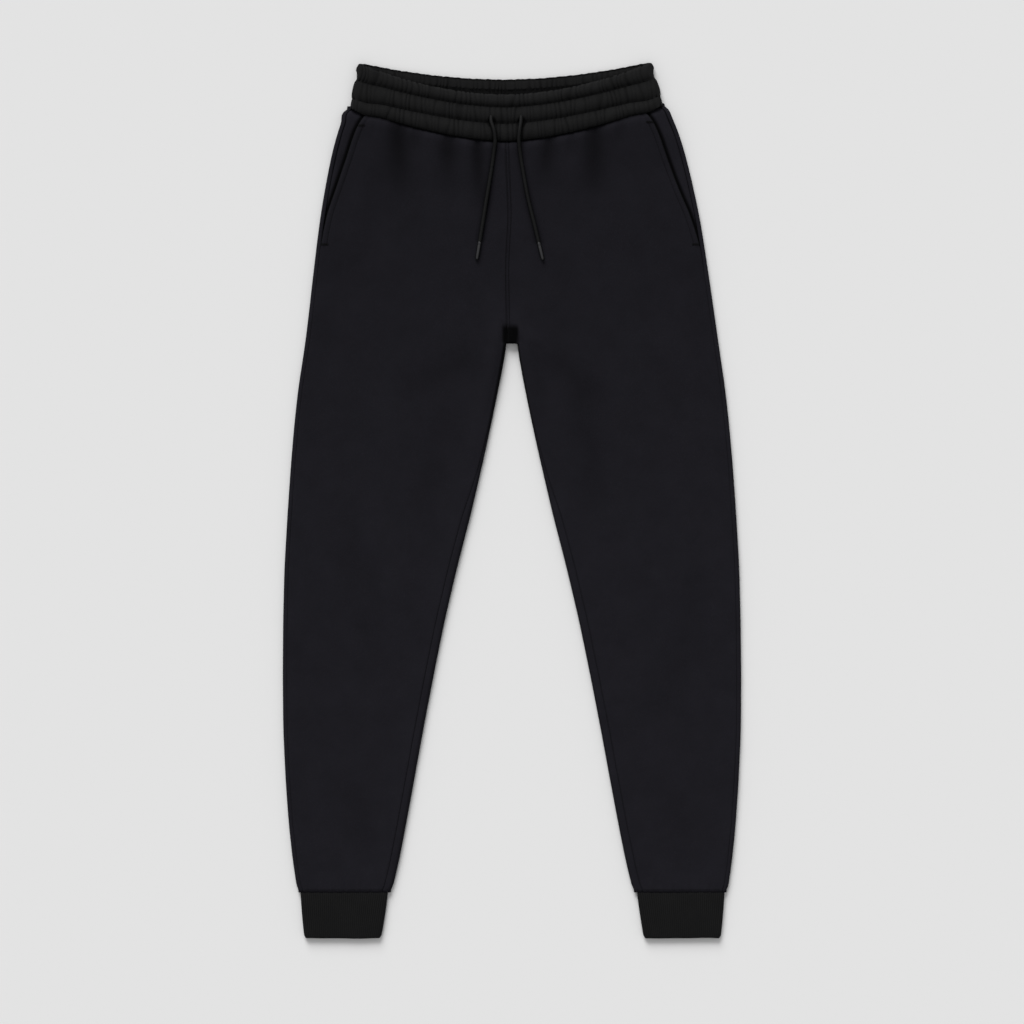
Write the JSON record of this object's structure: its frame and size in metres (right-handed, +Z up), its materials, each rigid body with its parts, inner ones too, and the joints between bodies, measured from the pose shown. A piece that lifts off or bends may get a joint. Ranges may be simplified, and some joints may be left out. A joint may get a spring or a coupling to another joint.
{
  "type": "jogger sweatpants",
  "caption": "Jogger sweatpants laid flat and face up: gathered rib waistband with a drawcord, slanted side pockets, tapered fleece legs and rib cuffs.",
  "frame": {"origin": "on the surface that the garment lies on, at the middle of its outline", "axes": "+Y from the cuffs towards the waist, +X towards the wearer's left, +Z up from the surface, through the back and then the front"},
  "size_m": [0.5499, 1.0503, 0.0163],
  "materials": {
    "body_fleece": "matte knit face, near black with a slight blue cast",
    "rib_knit": "matte rib knit, neutral black",
    "drawcord": "round braided cord, black",
    "cord_tip": "glossy dark grey tip"
  },
  "bodies": {
    "root": {"front_right": "body_fleece", "front_left": "body_fleece", "back_right": "body_fleece", "back_left": "body_fleece", "pocket_facing_right": "body_fleece", "pocket_facing_left": "body_fleece", "waistband": "rib_knit", "cuff_right": "rib_knit", "cuff_left": "rib_knit", "drawcord_right": "drawcord", "drawcord_left": "drawcord", "aglet_right": "cord_tip", "aglet_left": "cord_tip"}
  },
  "joints": []
}
